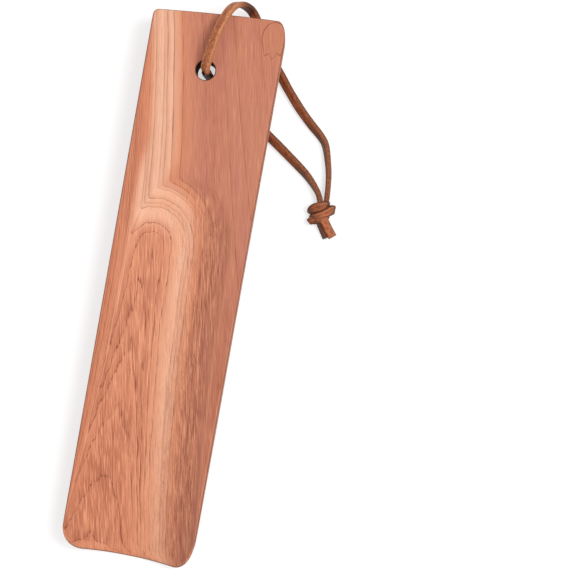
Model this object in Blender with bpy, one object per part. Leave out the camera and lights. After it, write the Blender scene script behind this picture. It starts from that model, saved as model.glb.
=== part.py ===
"""A cedar shoe horn with a leather hanging lace, lying on its back.

The horn is one board of red cedar. A scoop for the heel starts below the grip in its front face
and runs out at a thin tip, its back is rounded off beside the tip, and its head has a hanging
hole. One flat leather lace goes through the hole. Its front strand arches over the head and comes
back under the board, its back strand runs straight under the board, and both end in one overhand
knot beside the horn. The head leans on the two strands, so the board lies a little sloped.

Lengths are in metres. +X is across the board, +Y towards the head and +Z up out of the scoop. The
origin is the middle of the board's footprint, on the surface that it lies on.
"""

import math
from bisect import bisect_left
from itertools import accumulate

import bmesh
import bpy
from mathutils import Matrix, Vector

MM = 0.001
GAP = 0.0003
SKIN = 0.00003
SHARP_ANGLE = math.radians(40)

# Board
BOARD_LENGTH = 0.181
BOARD_WIDTH = 0.0437
BOARD_THICKNESS = 0.011
EDGE_EASING = 0.0008
HEAD_SLANT = math.radians(4.3)
HEAD_CROWN = 0.0003
TIP_SLANT = math.radians(1.2)
CORNER_STEPS = 8
HEAD_STEPS = 12

# The reach of each hand-rounded corner along the end and along the side
HEAD_LEFT_CORNER = (0.0017, 0.0020)
HEAD_RIGHT_CORNER = (0.0035, 0.0072)
TIP_LEFT_CORNER = (0.0071, 0.0084)
TIP_RIGHT_CORNER = (0.0062, 0.0108)

# Hanging hole, drilled a little to the left of the middle
HOLE_DIAMETER = 0.00635
HOLE_FROM_HEAD = 0.0185
HOLE_ASIDE = -0.0018
HOLE_SIDES = 40

# Scoop, as a round-nosed cutter leaves it that rises slowly out of the wood at the upper end
SCOOP_LENGTH = 0.127
SCOOP_NOSE_STRETCH = 1.4
SCOOP_RADIUS = 0.033
SCOOP_DEPTH = 0.0044
SCOOP_DROP_LENGTH = 0.095
LIP_THICKNESS = 0.0018
SCOOP_HALF_ARC = math.radians(50)
SCOOP_ARC_STEPS = 32
SCOOP_RUN_STEPS = 26
SCOOP_NOSE_STEPS = 9

# Rounding of the back beside the tip
BACK_EASE_LENGTH = 0.055
BACK_EASE_HEIGHT = 0.0045
BACK_FLAT_WIDTH = 0.010
BACK_EASE_STEPS = 12

# Lace, whose strands stand half on edge where the head leans on them
LACE_WIDTH = 0.0032
LACE_THICKNESS = 0.002
LACE_ROLL_UNDER_BOARD = math.radians(42)
LACE_STEP = 0.0023
CURVE_STEPS = 24

# Each strand is a smooth curve from the knot to the middle of the hole: x, y and z in millimetres
# from the hole's place on the floor, and the turn of the lace from standing on edge, in degrees
FRONT_STRAND = (
    (46.3, -33.4, 1.62, 0),
    (46.0, -29.4, 1.62, 0),
    (45.4, -25.0, 1.62, 4),
    (44.3, -20.6, 1.60, 10),
    (42.8, -16.1, 1.58, 20),
    (40.8, -13.4, 1.57, 30),
    (36.5, -9.6, 1.55, 42),
    (32.1, -5.3, 1.53, 48),
    (27.6, -0.2, 1.53, 48),
    (24.1, 4.2, 1.53, 48),
    (19.4, 10.0, 1.53, 48),
    (15.3, 15.1, 1.60, 50),
    (14.0, 18.0, 1.90, 60),
    (12.6, 21.2, 2.80, 65),
    (10.8, 23.2, 4.70, 65),
    (9.1, 23.8, 7.60, 60),
    (7.5, 23.6, 10.7, 45),
    (6.0, 22.5, 13.8, 25),
    (4.7, 20.4, 16.6, 10),
    (3.5, 17.1, 18.7, 3),
    (2.5, 13.6, 19.7, 2),
    (1.6, 9.6, 19.8, 6),
    (0.9, 5.6, 19.7, 12),
    (0.4, 2.5, 18.9, 17),
    (0.1, 0.7, 17.3, 17),
    (0.0, 0.0, 15.3, 17),
    (0.0, 0.0, 12.6, 17),
    (0.0, 0.0, 9.9, 17),
)
BACK_STRAND = (
    (43.7, -33.3, 1.62, 0),
    (42.9, -31.8, 1.62, 4),
    (41.0, -29.5, 1.60, 14),
    (38.7, -27.2, 1.58, 25),
    (36.4, -25.3, 1.57, 34),
    (32.0, -22.1, 1.55, 43),
    (27.5, -18.9, 1.53, 48),
    (23.9, -16.4, 1.53, 48),
    (18.0, -12.2, 1.53, 48),
    (12.0, -8.1, 1.53, 48),
    (7.0, -4.7, 1.53, 46),
    (4.6, -3.1, 1.53, 43),
    (2.8, -1.9, 1.53, 39),
    (1.4, -0.95, 2.05, 36),
    (0.4, -0.25, 3.50, 34),
    (0.0, 0.0, 5.30, 34),
    (0.0, 0.0, 7.50, 34),
    (0.0, 0.0, 9.60, 34),
)

# Knot, whose parts are placed from its centre: each wrap with its size, its place and its lean,
# each lump with its size and place, and each neck and tail with both ends, its width and thickness
KNOT_CENTRE = (0.0457, -0.0384, 0.0030)
KNOT_CORE_SIZE = (0.0066, 0.0060, 0.0050)
KNOT_WRAPS = {
    "upper_wrap": ((0.0072, 0.0030, 0.0056), (-0.0003, 0.0012, 0), math.radians(-8)),
    "lower_wrap": ((0.0078, 0.0028, 0.0058), (0.0002, -0.0009, 0), math.radians(28)),
}
KNOT_LUMPS = {
    "right_lobe": ((0.0036, 0.0032, 0.0040), (0.0024, 0.0021, 0.0002)),
    "left_nub": ((0.0034, 0.0026, 0.0026), (-0.0030, -0.0030, -0.0013)),
}
KNOT_STRAPS = {
    "front_neck": ((0.0007, 0, 0), (0.0007, 0.0041, -0.0010), LACE_THICKNESS, LACE_WIDTH),
    "back_neck": ((-0.0012, 0, 0), (-0.0019, 0.0041, -0.0010), LACE_THICKNESS, LACE_WIDTH),
    "right_tail": ((0.0012, -0.001, 0), (0.0047, -0.0075, -0.0012), 0.0030, LACE_THICKNESS),
    "left_tail": ((0.0003, -0.001, 0), (0.0018, -0.0080, -0.0018), LACE_THICKNESS, 0.0022),
}
WRAP_STEPS = 24
WRAP_RIM = ((-0.5, 0.82), (-0.36, 1.0), (0.36, 1.0), (0.5, 0.82))
LUMP_STEPS = (16, 10)
STRAP_EASING = 0.0004

CEDAR_COLOUR = (0.70, 0.32, 0.19, 1)
LEATHER_COLOUR = (0.36, 0.12, 0.04, 1)


def clear_scene():
    for item in list(bpy.data.objects):
        bpy.data.objects.remove(item)


def make_material(name, colour, roughness):
    material = bpy.data.materials.new(name)
    material.use_nodes = True
    shader = material.node_tree.nodes["Principled BSDF"]
    shader.inputs["Base Color"].default_value = colour
    shader.inputs["Roughness"].default_value = roughness
    shader.inputs["Metallic"].default_value = 0
    return material


def add_object(name, data, material=None):
    item = bpy.data.objects.new(name, data)
    bpy.context.collection.objects.link(item)
    if material:
        data.materials.append(material)
    return item


def add_solid(name, bm, material=None):
    """Turns a bmesh into an object, with its faces pointing out."""
    bmesh.ops.recalc_face_normals(bm, faces=bm.faces)
    mesh = bpy.data.meshes.new(name)
    bm.to_mesh(mesh)
    bm.free()
    return add_object(name, mesh, material)


def add_boolean(item, other, operation):
    """Cuts the other shape away, or joins it on, and leaves it as a hidden guide."""
    modifier = item.modifiers.new(other.name, "BOOLEAN")
    modifier.operation = operation
    modifier.solver = "EXACT"
    modifier.object = other
    other.hide_render = True
    other.display_type = "WIRE"


def loft(rings):
    """A closed bmesh through rings of points, each ring with as many points as the next."""
    bm = bmesh.new()
    made = [[bm.verts.new(point) for point in ring] for ring in rings]
    count = len(made[0])
    for ring, following in zip(made, made[1:]):
        for i in range(count):
            j = (i + 1) % count
            bm.faces.new((ring[i], ring[j], following[j], following[i]))
    bm.faces.new(made[0])
    bm.faces.new(reversed(made[-1]))
    return bm


def shade(item):
    item.data.shade_smooth()
    item.data.set_sharp_from_angle(angle=SHARP_ANGLE)


def round_corner(before, corner, after, start_reach, end_reach):
    """The quarter oval of a corner, by its reach along the side before and the side after."""
    to_start = (before - corner).normalized() * start_reach
    to_end = (after - corner).normalized() * end_reach
    points = []
    for k in range(CORNER_STEPS + 1):
        turn = math.pi / 2 * k / CORNER_STEPS
        points.append(corner + to_start * (1 - math.sin(turn)) + to_end * (1 - math.cos(turn)))
    return points


def head_crown(left, right):
    """Points between the head's two corners, on a shallow arch over their straight line."""
    across = (right - left).normalized()
    outward = Vector((-across.y, across.x))
    points = []
    for k in range(1, HEAD_STEPS):
        share = k / HEAD_STEPS
        rise = HEAD_CROWN * 4 * share * (1 - share)
        points.append(left.lerp(right, share) + outward * rise)
    return points


def board_outline():
    """The board seen from the front, clockwise from its lower left corner."""
    half_width = BOARD_WIDTH / 2
    head_rise = half_width * math.tan(HEAD_SLANT)
    tip_drop = half_width * math.tan(TIP_SLANT)
    tip_left = Vector((-half_width, -BOARD_LENGTH / 2 + tip_drop))
    head_left = Vector((-half_width, BOARD_LENGTH / 2 - head_rise))
    head_right = Vector((half_width, BOARD_LENGTH / 2 + head_rise))
    tip_right = Vector((half_width, -BOARD_LENGTH / 2 - tip_drop))
    head_left_end, head_left_side = HEAD_LEFT_CORNER
    tip_right_end, tip_right_side = TIP_RIGHT_CORNER
    left_shoulder = round_corner(tip_left, head_left, head_right, head_left_side, head_left_end)
    right_shoulder = round_corner(head_left, head_right, tip_right, *HEAD_RIGHT_CORNER)
    return [
        *round_corner(tip_right, tip_left, head_left, *TIP_LEFT_CORNER),
        *left_shoulder,
        *head_crown(left_shoulder[-1], right_shoulder[0]),
        *right_shoulder,
        *round_corner(head_right, tip_right, tip_left, tip_right_side, tip_right_end),
    ]


def scoop_depth(from_tip):
    """How deep the middle of the scoop lies below the front face."""
    tip_depth = BOARD_THICKNESS - LIP_THICKNESS
    share = max(0, 1 - from_tip / SCOOP_DROP_LENGTH)
    return SCOOP_DEPTH + (tip_depth - SCOOP_DEPTH) * share**2


def scoop_ring(y, centre_height, radius):
    """One section of the scoop's cutter: an arc below, and a flat top over the board."""
    top = BOARD_THICKNESS + SCOOP_RADIUS * (1 - math.cos(SCOOP_HALF_ARC))
    half_top = radius * math.sin(SCOOP_HALF_ARC)
    ring = []
    for k in range(SCOOP_ARC_STEPS + 1):
        angle = SCOOP_HALF_ARC * (2 * k / SCOOP_ARC_STEPS - 1)
        ring.append((radius * math.sin(angle), y, centre_height - radius * math.cos(angle)))
    return [*ring, (half_top, y, top), (-half_top, y, top)]


def make_scoop_cutter():
    tip_y = -BOARD_LENGTH / 2
    nose_depth = SCOOP_RADIUS - SCOOP_DEPTH
    nose_reach = SCOOP_RADIUS * SCOOP_NOSE_STRETCH
    nose_end = math.acos(nose_depth / SCOOP_RADIUS)
    run_length = SCOOP_LENGTH - nose_reach * math.sin(nose_end)
    overshoot = BOARD_WIDTH * math.tan(TIP_SLANT) + EDGE_EASING
    rings = []
    for k in range(SCOOP_RUN_STEPS + 1):
        from_tip = -overshoot + (run_length + overshoot) * k / SCOOP_RUN_STEPS
        centre_height = BOARD_THICKNESS - scoop_depth(from_tip) + SCOOP_RADIUS
        rings.append(scoop_ring(tip_y + from_tip, centre_height, SCOOP_RADIUS))
    nose_turn = nose_end * (1 + 1 / SCOOP_NOSE_STEPS)
    for k in range(1, SCOOP_NOSE_STEPS + 1):
        turn = nose_turn * k / SCOOP_NOSE_STEPS
        y = tip_y + run_length + nose_reach * math.sin(turn)
        radius = SCOOP_RADIUS * math.cos(turn)
        rings.append(scoop_ring(y, BOARD_THICKNESS + nose_depth, radius))
    return add_solid("scoop_cutter", loft(rings))


def back_ease_height(from_tip, aside):
    """How far the back is rounded away, at a distance from the tip and from the middle."""
    along = max(0, 1 - from_tip / BACK_EASE_LENGTH)
    half_flat = BACK_FLAT_WIDTH / 2
    across = max(0, abs(aside) - half_flat) / (BOARD_WIDTH / 2 - half_flat)
    return BACK_EASE_HEIGHT * along**1.5 * across**2


def make_back_cutter():
    """A tongue below the board, whose top face is the rounded back just outside its flat part."""
    below = -BACK_EASE_HEIGHT
    half_cut = BOARD_WIDTH / 2 + EDGE_EASING
    overshoot = BOARD_WIDTH * math.tan(TIP_SLANT) + EDGE_EASING
    rings = []
    for k in range(BACK_EASE_STEPS + 1):
        from_tip = -overshoot + (BACK_EASE_LENGTH + overshoot) * k / BACK_EASE_STEPS
        y = -BOARD_LENGTH / 2 + from_tip
        ring = []
        for i in range(2 * BACK_EASE_STEPS + 1):
            x = half_cut * (i / BACK_EASE_STEPS - 1)
            ring.append((x, y, back_ease_height(from_tip, x) - SKIN))
        rings.append([*ring, (half_cut, y, below), (-half_cut, y, below)])
    return add_solid("back_cutter", loft(rings))


def hole_centre():
    return Vector((HOLE_ASIDE, BOARD_LENGTH / 2 - HOLE_FROM_HEAD, BOARD_THICKNESS / 2))


def make_hole_cutter():
    bm = bmesh.new()
    bmesh.ops.create_cone(
        bm,
        cap_ends=True,
        segments=HOLE_SIDES,
        radius1=HOLE_DIAMETER / 2,
        radius2=HOLE_DIAMETER / 2,
        depth=BOARD_THICKNESS * 2,
        matrix=Matrix.Translation(hole_centre()),
    )
    return add_solid("hole_cutter", bm)


def make_board(material):
    """The blank, sawn to its outline and with its edges eased, then cut."""
    bottom = [(point.x, point.y, 0) for point in board_outline()]
    top = [(x, y, BOARD_THICKNESS) for x, y, _ in bottom]
    board = add_solid("cedar_body", loft([bottom, top]), material)
    easing = board.modifiers.new("eased_edges", "BEVEL")
    easing.width = EDGE_EASING
    easing.segments = 2
    easing.limit_method = "ANGLE"
    easing.angle_limit = SHARP_ANGLE
    for cutter in (make_scoop_cutter(), make_back_cutter(), make_hole_cutter()):
        cutter.parent = board
        add_boolean(board, cutter, "DIFFERENCE")
    shade(board)
    return board


def lace_under_edge():
    """How far past the hole, towards the head, the back strand leaves from under the board."""
    edge = (BOARD_WIDTH / 2 - HOLE_ASIDE) / MM
    under = next(stop for stop in BACK_STRAND if stop[0] < edge)
    outside = BACK_STRAND[BACK_STRAND.index(under) - 1]
    share = (edge - under[0]) / (outside[0] - under[0])
    return (under[1] + (outside[1] - under[1]) * share) * MM


def rest_slope():
    """The slope that the lace gives the board by lifting it where the back strand leaves it."""
    standing = (LACE_WIDTH - LACE_THICKNESS) * math.sin(LACE_ROLL_UNDER_BOARD)
    lift = standing + LACE_THICKNESS + GAP
    return math.asin(lift / (BOARD_LENGTH / 2 + hole_centre().y + lace_under_edge()))


def lay_down(board):
    """Leans the board on the lace, with the middle of its footprint at the origin."""
    slope = Matrix.Rotation(rest_slope(), 3, "X")
    bpy.context.view_layer.update()
    shaped = board.evaluated_get(bpy.context.evaluated_depsgraph_get()).to_mesh()
    corners = [slope @ vertex.co for vertex in shaped.vertices]
    low = Vector([min(corner[axis] for corner in corners) for axis in range(3)])
    high = Vector([max(corner[axis] for corner in corners) for axis in range(3)])
    pose = add_object("board_pose", None)
    pose.rotation_euler = slope.to_euler()
    pose.location = (-(low.x + high.x) / 2, -(low.y + high.y) / 2, -low.z)
    board.parent = pose
    return pose


def place_lace(board_pose):
    """An empty on the floor under the middle of the hole, which the lace is measured from."""
    bpy.context.view_layer.update()
    pose = add_object("lace_pose", None)
    pose.location = board_pose.matrix_world @ hole_centre()
    pose.location.z = 0
    return pose


def on_curve(before, start, end, after, share):
    """The place at a share of the smooth curve from start to end."""
    bend = before * 2 - start * 5 + end * 4 - after
    twist = start * 3 - before - end * 3 + after
    return (start * 2 + (end - before) * share + bend * share**2 + twist * share**3) / 2


def smooth_route(route):
    """Places and turns every step along a smooth curve through the route's own points."""
    stops = [Vector((*stop[:3], math.radians(stop[3]) / MM)) * MM for stop in route]
    stops = [stops[0] * 2 - stops[1], *stops, stops[-1] * 2 - stops[-2]]
    fine = []
    for four in zip(stops, stops[1:], stops[2:], stops[3:]):
        fine += [on_curve(*four, k / CURVE_STEPS) for k in range(CURVE_STEPS)]
    fine.append(stops[-2])
    steps = [(end.xyz - start.xyz).length for start, end in zip(fine, fine[1:])]
    lengths = list(accumulate(steps, initial=0))
    count = round(lengths[-1] / LACE_STEP)
    inner = [bisect_left(lengths, lengths[-1] * k / count) for k in range(1, count)]
    return [fine[0], *(fine[i] for i in inner), fine[-1]]


def make_strand(name, route, lace_pose, material):
    """A flat strand of the lace, with rounded sides."""
    curve = bpy.data.curves.new(name, "CURVE")
    curve.dimensions = "3D"
    curve.twist_mode = "MINIMUM"
    curve.bevel_depth = LACE_THICKNESS / 2
    curve.extrude = (LACE_WIDTH - LACE_THICKNESS) / 2
    curve.bevel_resolution = 2
    curve.use_fill_caps = True
    stops = smooth_route(route)
    spline = curve.splines.new("POLY")
    spline.points.add(len(stops) - 1)
    for point, stop in zip(spline.points, stops):
        point.co = (*stop.xyz, 1)
        point.tilt = stop.w
    strand = add_object(name, curve, material)
    strand.parent = lace_pose
    return strand


def make_wrap(name, size, place, lean):
    """A band of lace that goes once round the knot, leaning to one side, as a solid barrel."""
    across, wide, high = size
    rings = []
    for along, share in WRAP_RIM:
        ring = []
        for k in range(WRAP_STEPS):
            angle = 2 * math.pi * k / WRAP_STEPS
            x = across / 2 * share * math.cos(angle)
            ring.append((x, along * wide, high / 2 * share * math.sin(angle)))
        rings.append(ring)
    bm = loft(rings)
    turn = Matrix.Rotation(lean, 4, "Z")
    bmesh.ops.transform(bm, matrix=Matrix.Translation(place) @ turn, verts=bm.verts)
    return add_solid(name, bm)


def make_lump(name, size, place):
    bm = bmesh.new()
    around, upward = LUMP_STEPS
    pose = Matrix.Translation(place) @ Matrix.Diagonal((*size, 1))
    bmesh.ops.create_uvsphere(
        bm, u_segments=around, v_segments=upward, radius=0.5, matrix=pose
    )
    return add_solid(name, bm)


def make_strap(name, start, end, width, thickness):
    """A short straight stretch of lace between two places in the knot."""
    along = Vector(end) - Vector(start)
    middle = (Vector(start) + Vector(end)) / 2
    size = Matrix.Diagonal((width, along.length, thickness, 1))
    aim = along.to_track_quat("Y", "Z").to_matrix().to_4x4()
    bm = bmesh.new()
    bmesh.ops.create_cube(bm, size=1, matrix=Matrix.Translation(middle) @ aim @ size)
    bmesh.ops.bevel(bm, geom=bm.edges, offset=STRAP_EASING, segments=1, affect="EDGES")
    return add_solid(name, bm)


def make_knot(lace_pose, material):
    """The overhand knot with its two cut tails, as one lump of leather."""
    knot = make_lump("lace_knot", KNOT_CORE_SIZE, (0, 0, 0))
    knot.data.materials.append(material)
    knot.location = KNOT_CENTRE
    knot.parent = lace_pose
    pieces = [make_wrap(name, *sizes) for name, sizes in KNOT_WRAPS.items()]
    pieces += [make_lump(name, *sizes) for name, sizes in KNOT_LUMPS.items()]
    pieces += [make_strap(name, *sizes) for name, sizes in KNOT_STRAPS.items()]
    for piece in pieces:
        piece.parent = knot
        add_boolean(knot, piece, "UNION")
    shade(knot)
    return knot


def main():
    clear_scene()
    cedar = make_material("red_cedar", CEDAR_COLOUR, 0.55)
    leather = make_material("brown_leather", LEATHER_COLOUR, 0.75)
    board_pose = lay_down(make_board(cedar))
    lace_pose = place_lace(board_pose)
    make_strand("lace_front_strand", FRONT_STRAND, lace_pose, leather)
    make_strand("lace_back_strand", BACK_STRAND, lace_pose, leather)
    make_knot(lace_pose, leather)


main()
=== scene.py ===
"""Dresses the cedar shoe horn: its wood, its leather lace and knot, and a plain pale studio.

Lengths are in metres unless a name or comment says millimetres. +X is across the board, +Y towards
the head with the hanging hole, and +Z up out of the scoop. The floor is at height zero.
"""

from __future__ import annotations

import logging
import math
from bisect import bisect_left
from collections.abc import Callable, Iterable, Sequence
from dataclasses import dataclass
from enum import Enum
from functools import cache, reduce
from itertools import accumulate
from typing import NamedTuple

import bmesh
import bpy
from mathutils import Matrix, Quaternion, Vector, noise


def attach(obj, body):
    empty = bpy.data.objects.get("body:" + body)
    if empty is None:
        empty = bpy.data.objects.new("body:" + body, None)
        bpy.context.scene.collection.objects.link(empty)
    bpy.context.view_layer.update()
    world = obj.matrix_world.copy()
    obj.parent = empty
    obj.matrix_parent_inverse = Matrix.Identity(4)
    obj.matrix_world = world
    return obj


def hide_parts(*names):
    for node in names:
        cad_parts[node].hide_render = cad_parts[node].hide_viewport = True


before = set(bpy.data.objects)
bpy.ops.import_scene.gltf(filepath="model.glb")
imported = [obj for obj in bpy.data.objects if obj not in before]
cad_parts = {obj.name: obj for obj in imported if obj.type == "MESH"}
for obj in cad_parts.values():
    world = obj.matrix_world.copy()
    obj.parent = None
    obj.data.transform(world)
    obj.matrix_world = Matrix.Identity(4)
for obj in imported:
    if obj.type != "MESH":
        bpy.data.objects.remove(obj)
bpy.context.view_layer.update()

MM = 0.001
WHITE = (1.0, 1.0, 1.0, 1.0)
CLOUD_SPAN = (0.3, 0.7)
log = logging.getLogger("shoe_horn")

Item = bpy.types.Object
Colour = tuple[int, int, int]
Pair = tuple[float, float]
Triple = tuple[float, float, float]
Stop = tuple[float, ...]


class Slot(Enum):
    """The finishes that the record names."""

    CEDAR = "cedar"
    LEATHER = "leather"


class Cloud(NamedTuple):
    """A cloudy pattern: a cloud's size each way, the usual range of its value, and its detail."""

    size: Triple
    low: float = 0.0
    high: float = 1.0
    detail: float = 2.0


class Rise(NamedTuple):
    """A smooth rise from base at low to peak at high, which may lie below low."""

    low: Value | float
    high: Value | float
    peak: Value | float = 1.0
    base: float = 0.0


def linear(colour: Colour) -> tuple[float, ...]:
    """Turns a colour as a screen shows it into the renderer's own numbers.

    Args:
        colour: The red, green and blue parts, from 0 to 255.

    Returns:
        The same colour in linear light, with full cover.
    """
    shares = [part / 255 for part in colour]
    parts = [part / 12.92 if part <= 0.04045 else ((part + 0.055) / 1.055) ** 2.4 for part in shares]
    return (*parts, 1.0)


def smooth_step(low: float, high: float, value: float) -> float:
    """Rises smoothly from 0 at low to 1 at high.

    Args:
        low: The value where the rise starts.
        high: The value where it ends.
        value: The value to look up.

    Returns:
        A share from 0 to 1.
    """
    share = min(1.0, max(0.0, (value - low) / (high - low)))
    return share * share * (3 - 2 * share)


def new_group(name: str, inputs: dict[str, str], output: str) -> bpy.types.NodeTree:
    """Starts a node group that puts out one number.

    Args:
        name: The group's name.
        inputs: The names of its inputs, each with its kind.
        output: The name of its output.

    Returns:
        The group, with its sockets and no nodes.
    """
    tree = bpy.data.node_groups.new(name, "ShaderNodeTree")
    for title, kind in inputs.items():
        tree.interface.new_socket(title, in_out="INPUT", socket_type=f"NodeSocket{kind}")
    tree.interface.new_socket(output, in_out="OUTPUT", socket_type="NodeSocketFloat")
    return tree


@cache
def cloud_group() -> bpy.types.NodeTree:
    """Makes the cloudy pattern that the wood and the leather share.

    Returns:
        A node group with the inputs Place, Size, Low, High and Detail, and the output Value.
    """
    kinds = {"Place": "Vector", "Size": "Vector", "Low": "Float", "High": "Float", "Detail": "Float"}
    bench = Bench(new_group("stretched_clouds", kinds, "Value"))
    given = bench.outputs("NodeGroupInput")
    stretched = bench.make("ShaderNodeVectorMath", given["Place"], given["Size"], operation="DIVIDE")
    clouds = bench.add("ShaderNodeTexNoise")
    bench.feed_named(clouds, {"Scale": 1.0, "Vector": stretched, "Detail": given["Detail"]})
    values = (Value(bench, clouds.outputs[0]), *CLOUD_SPAN, given["Low"], given["High"])
    bench.add("NodeGroupOutput", bench.make("ShaderNodeMapRange", *values, clamp=False))
    return bench.tree


@cache
def steep_group() -> bpy.types.NodeTree:
    """Makes the mask of steep places that the wood and the leather share.

    Returns:
        A node group with the inputs Level, Steep and Peak, and the output Mask.
    """
    kinds = dict.fromkeys(("Level", "Steep", "Peak"), "Float")
    bench = Bench(new_group("steep_places", kinds, "Mask"))
    given = bench.outputs("NodeGroupInput")
    upward = abs(bench.facing()[2])
    bench.add("NodeGroupOutput", upward.rise(Rise(*(given[title] for title in kinds))))
    return bench.tree


class Value:
    """What a shader node puts out, with which sums are written as with a number."""

    def __init__(self, bench: Bench, socket: bpy.types.NodeSocket) -> None:
        """Starts with a node's socket and the bench that the node is on."""
        self.bench, self.socket = bench, socket

    def math(self, operation: str, *others: Value | float) -> Value:
        """Does one of the Math node's sums, with this number first."""
        return self.bench.make("ShaderNodeMath", self, *others, operation=operation)

    def __add__(self, other: Value | float) -> Value:
        """Adds a number."""
        return self.math("ADD", other)

    def __sub__(self, other: Value | float) -> Value:
        """Takes a number away."""
        return self.math("SUBTRACT", other)

    def __rsub__(self, other: Value | float) -> Value:
        """Takes this number away from another."""
        return self.bench.make("ShaderNodeMath", other, self, operation="SUBTRACT")

    def __mul__(self, other: Value | float) -> Value:
        """Multiplies by a number."""
        return self.math("MULTIPLY", other)

    def __truediv__(self, other: Value | float) -> Value:
        """Divides by a number."""
        return self.math("DIVIDE", other)

    def __abs__(self) -> Value:
        """Drops the sign."""
        return self.math("ABSOLUTE")

    def line(self, slope: float, base: float) -> Value:
        """Multiplies by a slope and adds a base."""
        return self.math("MULTIPLY_ADD", slope, base)

    def most(self, *others: Value) -> Value:
        """Gives the largest of several numbers."""
        return reduce(lambda one, other: one.math("MAXIMUM", other), others, self)

    def within(self, low: float = 0.0, high: float = 1.0) -> Value:
        """Keeps the number within limits."""
        return self.math("MAXIMUM", low).math("MINIMUM", high)

    def rise(self, rise: Rise) -> Value:
        """Turns the number into a mask that rises smoothly."""
        values = (self, rise.low, rise.high, rise.base, rise.peak)
        return self.bench.make("ShaderNodeMapRange", *values, interpolation_type="SMOOTHSTEP")

    def clouds(self, cloud: Cloud) -> Value:
        """Lays a cloudy pattern on these coordinates."""
        return self.bench.make("ShaderNodeGroup", self, *cloud, node_tree=cloud_group())

    def parts(self) -> list[Value]:
        """Takes a vector apart into three numbers."""
        return list(self.bench.outputs("ShaderNodeSeparateXYZ", self).values())

    def ramp(self, stops: Sequence[tuple[float, Colour]]) -> Value:
        """Looks the number up in a row of colours.

        Args:
            stops: Numbers that rise, each with its colour.

        Returns:
            The colour.
        """
        low, span = stops[0][0], stops[-1][0] - stops[0][0]
        node = self.bench.add("ShaderNodeValToRGB", (self - low) / span)
        marks = node.color_ramp.elements
        while len(marks) < len(stops):
            marks.new(1.0)
        for mark, (number, colour) in zip(marks, stops):
            mark.position = (number - low) / span
            mark.color = linear(colour)
        return Value(self.bench, node.outputs[0])

    def bump(self, depth: float) -> Value:
        """Turns a height from 0 to 1 into a bumped normal, with the depth in metres."""
        node = self.bench.add("ShaderNodeBump")
        self.bench.feed_named(node, {"Distance": depth, "Height": self})
        return Value(self.bench, node.outputs[0])


class Bench:
    """Builds one tree of shader nodes, fed with values or with plain numbers, vectors and colours."""

    def __init__(self, tree: bpy.types.NodeTree) -> None:
        """Starts with the tree that the nodes go into."""
        self.tree = tree

    def feed(self, inputs: Iterable[bpy.types.NodeSocket], values: Iterable[object]) -> None:
        """Links inputs to values, or sets them to plain ones.

        Args:
            inputs: The inputs, of which those past the last value are left alone.
            values: What each is fed.
        """
        for socket, value in zip(inputs, values):
            if isinstance(value, Value):
                self.tree.links.new(value.socket, socket)
            else:
                socket.default_value = value

    def feed_named(self, node: bpy.types.Node, values: dict[str, object]) -> None:
        """Feeds the inputs of a node that have the names of the values."""
        self.feed([node.inputs[name] for name in values], values.values())

    def add(self, kind: str, *values: object, **settings: object) -> bpy.types.Node:
        """Adds a node.

        Args:
            kind: The node's type in Blender.
            values: What its inputs are fed, from the first one on.
            settings: Properties of the node and what they are set to.

        Returns:
            The new node.
        """
        node = self.tree.nodes.new(kind)
        for name, value in settings.items():
            setattr(node, name, value)
        self.feed(node.inputs, values)
        return node

    def make(self, kind: str, *values: object, **settings: object) -> Value:
        """Adds a node and gives the first value that it puts out."""
        return Value(self, self.add(kind, *values, **settings).outputs[0])

    def outputs(self, kind: str, *values: object, **settings: object) -> dict[str, Value]:
        """Adds a node and gives each value that it puts out, by name."""
        node = self.add(kind, *values, **settings)
        return {socket.name: Value(self, socket) for socket in node.outputs}

    def join(self, *parts: Value | float) -> Value:
        """Makes a vector of three numbers."""
        return self.make("ShaderNodeCombineXYZ", *parts)

    def facing(self) -> list[Value]:
        """Gives the three parts of the surface's normal."""
        return self.outputs("ShaderNodeNewGeometry")["Normal"].parts()

    def steep(self, rise: Rise) -> Value:
        """Masks the steep places, with a rise over the upward part of the normal."""
        return self.make("ShaderNodeGroup", *rise[:3], node_tree=steep_group())

    def mix(self, share: Value, below: Value | Colour, above: Value | Colour) -> Value:
        """Mixes two colours, each a value or a colour as a screen shows it.

        Args:
            share: How much of the upper one shows.
            below: The lower colour.
            above: The upper colour.

        Returns:
            The mixed colour.
        """
        node = self.add("ShaderNodeMix", share, data_type="RGBA")
        inputs = [socket for socket in node.inputs if socket.type == "RGBA"]
        self.feed(inputs, [c if isinstance(c, Value) else linear(c) for c in (below, above)])
        return Value(self, next(socket for socket in node.outputs if socket.type == "RGBA"))

    def layers(self, colour: Value, *layers: tuple[Value, Colour]) -> Value:
        """Lays colours over a first one, each under its mask, from the lowest up."""
        return reduce(lambda below, layer: self.mix(layer[0], below, layer[1]), layers, colour)

    def shown(self) -> Value:
        """Masks where a surface is seen, directly, in a gloss or through glass, and doesn't only light.

        Returns:
            The mask.
        """
        rays = self.outputs("ShaderNodeLightPath")
        seen = rays["Is Camera Ray"] + rays["Is Glossy Ray"] + rays["Is Transmission Ray"]
        return seen.math("MINIMUM", 1.0)


def new_material(name: str) -> tuple[bpy.types.Material, Bench, bpy.types.Node]:
    """Starts a material.

    Args:
        name: The material's name.

    Returns:
        The material, a bench on its nodes, and its shader.
    """
    material = bpy.data.materials.new(name)
    material.use_nodes = True
    tree = material.node_tree
    return material, Bench(tree), tree.nodes["Principled BSDF"]


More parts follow.
